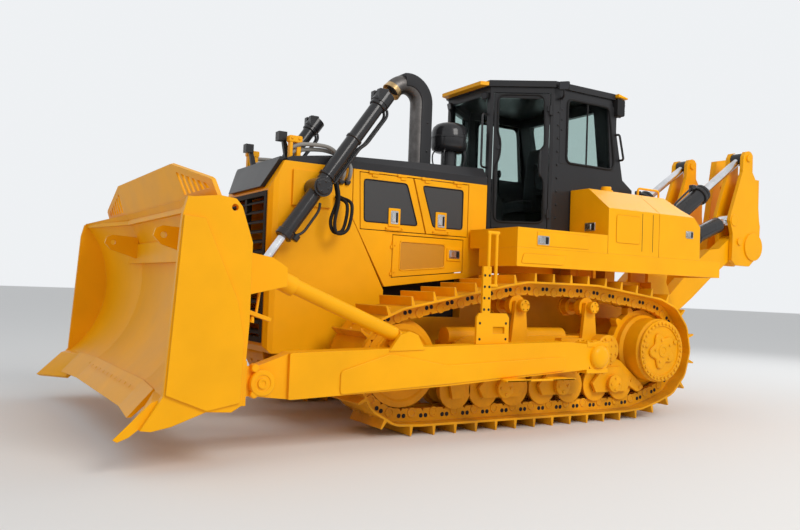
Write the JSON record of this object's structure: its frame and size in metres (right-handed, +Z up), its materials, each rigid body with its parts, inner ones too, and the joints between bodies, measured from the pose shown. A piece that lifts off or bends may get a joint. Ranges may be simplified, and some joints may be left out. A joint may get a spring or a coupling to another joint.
{
  "type": "bulldozer",
  "caption": "Track-type bulldozer with a semi-U blade on push arms, twin lift cylinders, an enclosed cab, engine and cab doors that open, and a parallelogram ripper with a shank.",
  "frame": {"origin": "on the ground under the middle of the bounding box", "axes": "+X points ahead to the blade, +Y to the left side, +Z up"},
  "size_m": [8.7024, 3.916, 3.555],
  "materials": {
    "yellow_paint": "semi-gloss",
    "dark_paint": "satin",
    "worn_steel": "worn",
    "chrome_rod": "polished",
    "window_glass": "clear",
    "black_trim": "matte"
  },
  "bodies": {
    "chassis": {"bogies": "yellow_paint", "cab_glass": "window_glass", "cab_roof": "dark_paint", "cab_shell": "dark_paint", "cab_visor": "yellow_paint", "console": "black_trim", "cross_shafts": "worn_steel", "engine": "dark_paint", "exhaust_stack": "worn_steel", "front_grille": "dark_paint", "hood_sides": "yellow_paint", "hood_top": "dark_paint", "idlers": "worn_steel", "lift_yokes": "dark_paint", "main_frame": "yellow_paint", "nose_lamps": "dark_paint", "nose_plate": "dark_paint", "platform": "yellow_paint", "precleaner": "dark_paint", "radiator": "dark_paint", "radiator_guard": "yellow_paint", "rear_tank": "yellow_paint", "ripper_mount": "yellow_paint", "rollers": "worn_steel", "seat": "black_trim", "side_tanks": "yellow_paint", "sprockets": "worn_steel", "step_boxes": "yellow_paint", "track_frames": "yellow_paint", "track_left": "worn_steel", "track_right": "worn_steel"},
    "blade_frame": {"blade": "yellow_paint", "push_arms": "yellow_paint", "blade_braces": "yellow_paint", "arm_rails": "yellow_paint"},
    "lift_barrel": {"lift_barrels": "dark_paint"},
    "lift_rod": {"lift_rods": "chrome_rod"},
    "ripper_arm": {"ripper_arms": "yellow_paint"},
    "ripper_carrier": {"ripper_beam": "yellow_paint", "ripper_shank": "yellow_paint"},
    "ripper_tilt": {"ripper_tilt_cylinders": "dark_paint"},
    "ripper_barrel": {"ripper_lift_barrels": "dark_paint"},
    "ripper_rod": {"ripper_lift_rods": "chrome_rod"},
    "cab_door_left": {"cab_door_left": "dark_paint", "door_glass_left": "window_glass"},
    "engine_door_front_left": {"engine_door_front_left": "yellow_paint"},
    "engine_door_rear_left": {"engine_door_rear_left": "yellow_paint"},
    "lower_door_left": {"lower_door_left": "yellow_paint"},
    "cab_door_right": {"cab_door_right": "dark_paint", "door_glass_right": "window_glass"},
    "engine_door_front_right": {"engine_door_front_right": "yellow_paint"},
    "engine_door_rear_right": {"engine_door_rear_right": "yellow_paint"},
    "lower_door_right": {"lower_door_right": "yellow_paint"}
  },
  "joints": [
    {"name": "blade_lift", "type": "hinge", "parent": "chassis", "child": "blade_frame", "pos_m": [-0.13279, 0, 0.696], "axis": [0, -1, 0], "range_deg": [-10.5, 12.5]},
    {"name": "lift_cylinder_swing", "type": "hinge", "parent": "chassis", "child": "lift_barrel", "pos_m": [2.44121, 0, 2.15], "axis": [0, -1, 0], "range_deg": [-13.18, 15.68]},
    {"name": "lift_rod_slide", "type": "slide", "parent": "lift_barrel", "child": "lift_rod", "axis": [0.5739, 0, -0.8189], "range_m": [-0.6296, 0.529]},
    {"name": "ripper_lift", "type": "hinge", "parent": "chassis", "child": "ripper_arm", "pos_m": [-2.39879, 0, 1.12], "axis": [0, -1, 0], "range_deg": [-2.5, 56]},
    {"name": "ripper_carrier_level", "type": "hinge", "parent": "ripper_arm", "child": "ripper_carrier", "pos_m": [-3.75979, 0, 2.06], "axis": [0, -1, 0], "range_deg": [-56.05, 2.55]},
    {"name": "ripper_tilt_swing", "type": "hinge", "parent": "chassis", "child": "ripper_tilt", "pos_m": [-2.5568, 0, 2.243], "axis": [0, -1, 0], "range_deg": [-2.55, 56.05]},
    {"name": "ripper_cylinder_swing", "type": "hinge", "parent": "chassis", "child": "ripper_barrel", "pos_m": [-2.3038, 0, 1.8], "axis": [0, -1, 0], "range_deg": [-2.54, 55.93]},
    {"name": "ripper_rod_slide", "type": "slide", "parent": "ripper_barrel", "child": "ripper_rod", "axis": [-0.93, 0, 0.3675], "range_m": [-0.018, 0.382]},
    {"name": "cab_door_left_hinge", "type": "hinge", "parent": "chassis", "child": "cab_door_left", "pos_m": [-0.22623, 0.78882, 2.7], "axis": [0, 0, 1], "range_deg": [0, 105]},
    {"name": "engine_door_rear_left_hinge", "type": "hinge", "parent": "chassis", "child": "engine_door_rear_left", "pos_m": [0.9812, 0.61, 2.364], "axis": [1, 0, 0], "range_deg": [0, 75]},
    {"name": "engine_door_front_left_hinge", "type": "hinge", "parent": "chassis", "child": "engine_door_front_left", "pos_m": [1.63121, 0.61, 2.364], "axis": [1, 0, 0], "range_deg": [0, 75]},
    {"name": "lower_door_left_hinge", "type": "hinge", "parent": "chassis", "child": "lower_door_left", "pos_m": [1.5632, 0.61, 1.6], "axis": [0, 0, -1], "range_deg": [0, 100]},
    {"name": "cab_door_right_hinge", "type": "hinge", "parent": "chassis", "child": "cab_door_right", "pos_m": [-0.22623, -0.78882, 2.7], "axis": [0, 0, -1], "range_deg": [0, 105]},
    {"name": "engine_door_rear_right_hinge", "type": "hinge", "parent": "chassis", "child": "engine_door_rear_right", "pos_m": [0.9812, -0.61, 2.364], "axis": [-1, 0, 0], "range_deg": [0, 75]},
    {"name": "engine_door_front_right_hinge", "type": "hinge", "parent": "chassis", "child": "engine_door_front_right", "pos_m": [1.63121, -0.61, 2.364], "axis": [-1, 0, 0], "range_deg": [0, 75]},
    {"name": "lower_door_right_hinge", "type": "hinge", "parent": "chassis", "child": "lower_door_right", "pos_m": [1.5632, -0.61, 1.6], "axis": [0, 0, 1], "range_deg": [0, 100]}
  ],
  "couplings": [
    {"joint": "lift_cylinder_swing", "follows": "blade_lift", "ratio": 1.2504},
    {"joint": "lift_rod_slide", "follows": "blade_lift", "m_per_rad": -2.8812},
    {"joint": "ripper_carrier_level", "follows": "ripper_lift", "ratio": -1},
    {"joint": "ripper_tilt_swing", "follows": "ripper_lift", "ratio": 1},
    {"joint": "ripper_cylinder_swing", "follows": "ripper_lift", "ratio": 0.9979},
    {"joint": "ripper_rod_slide", "follows": "ripper_lift", "m_per_rad": 0.3898}
  ]
}
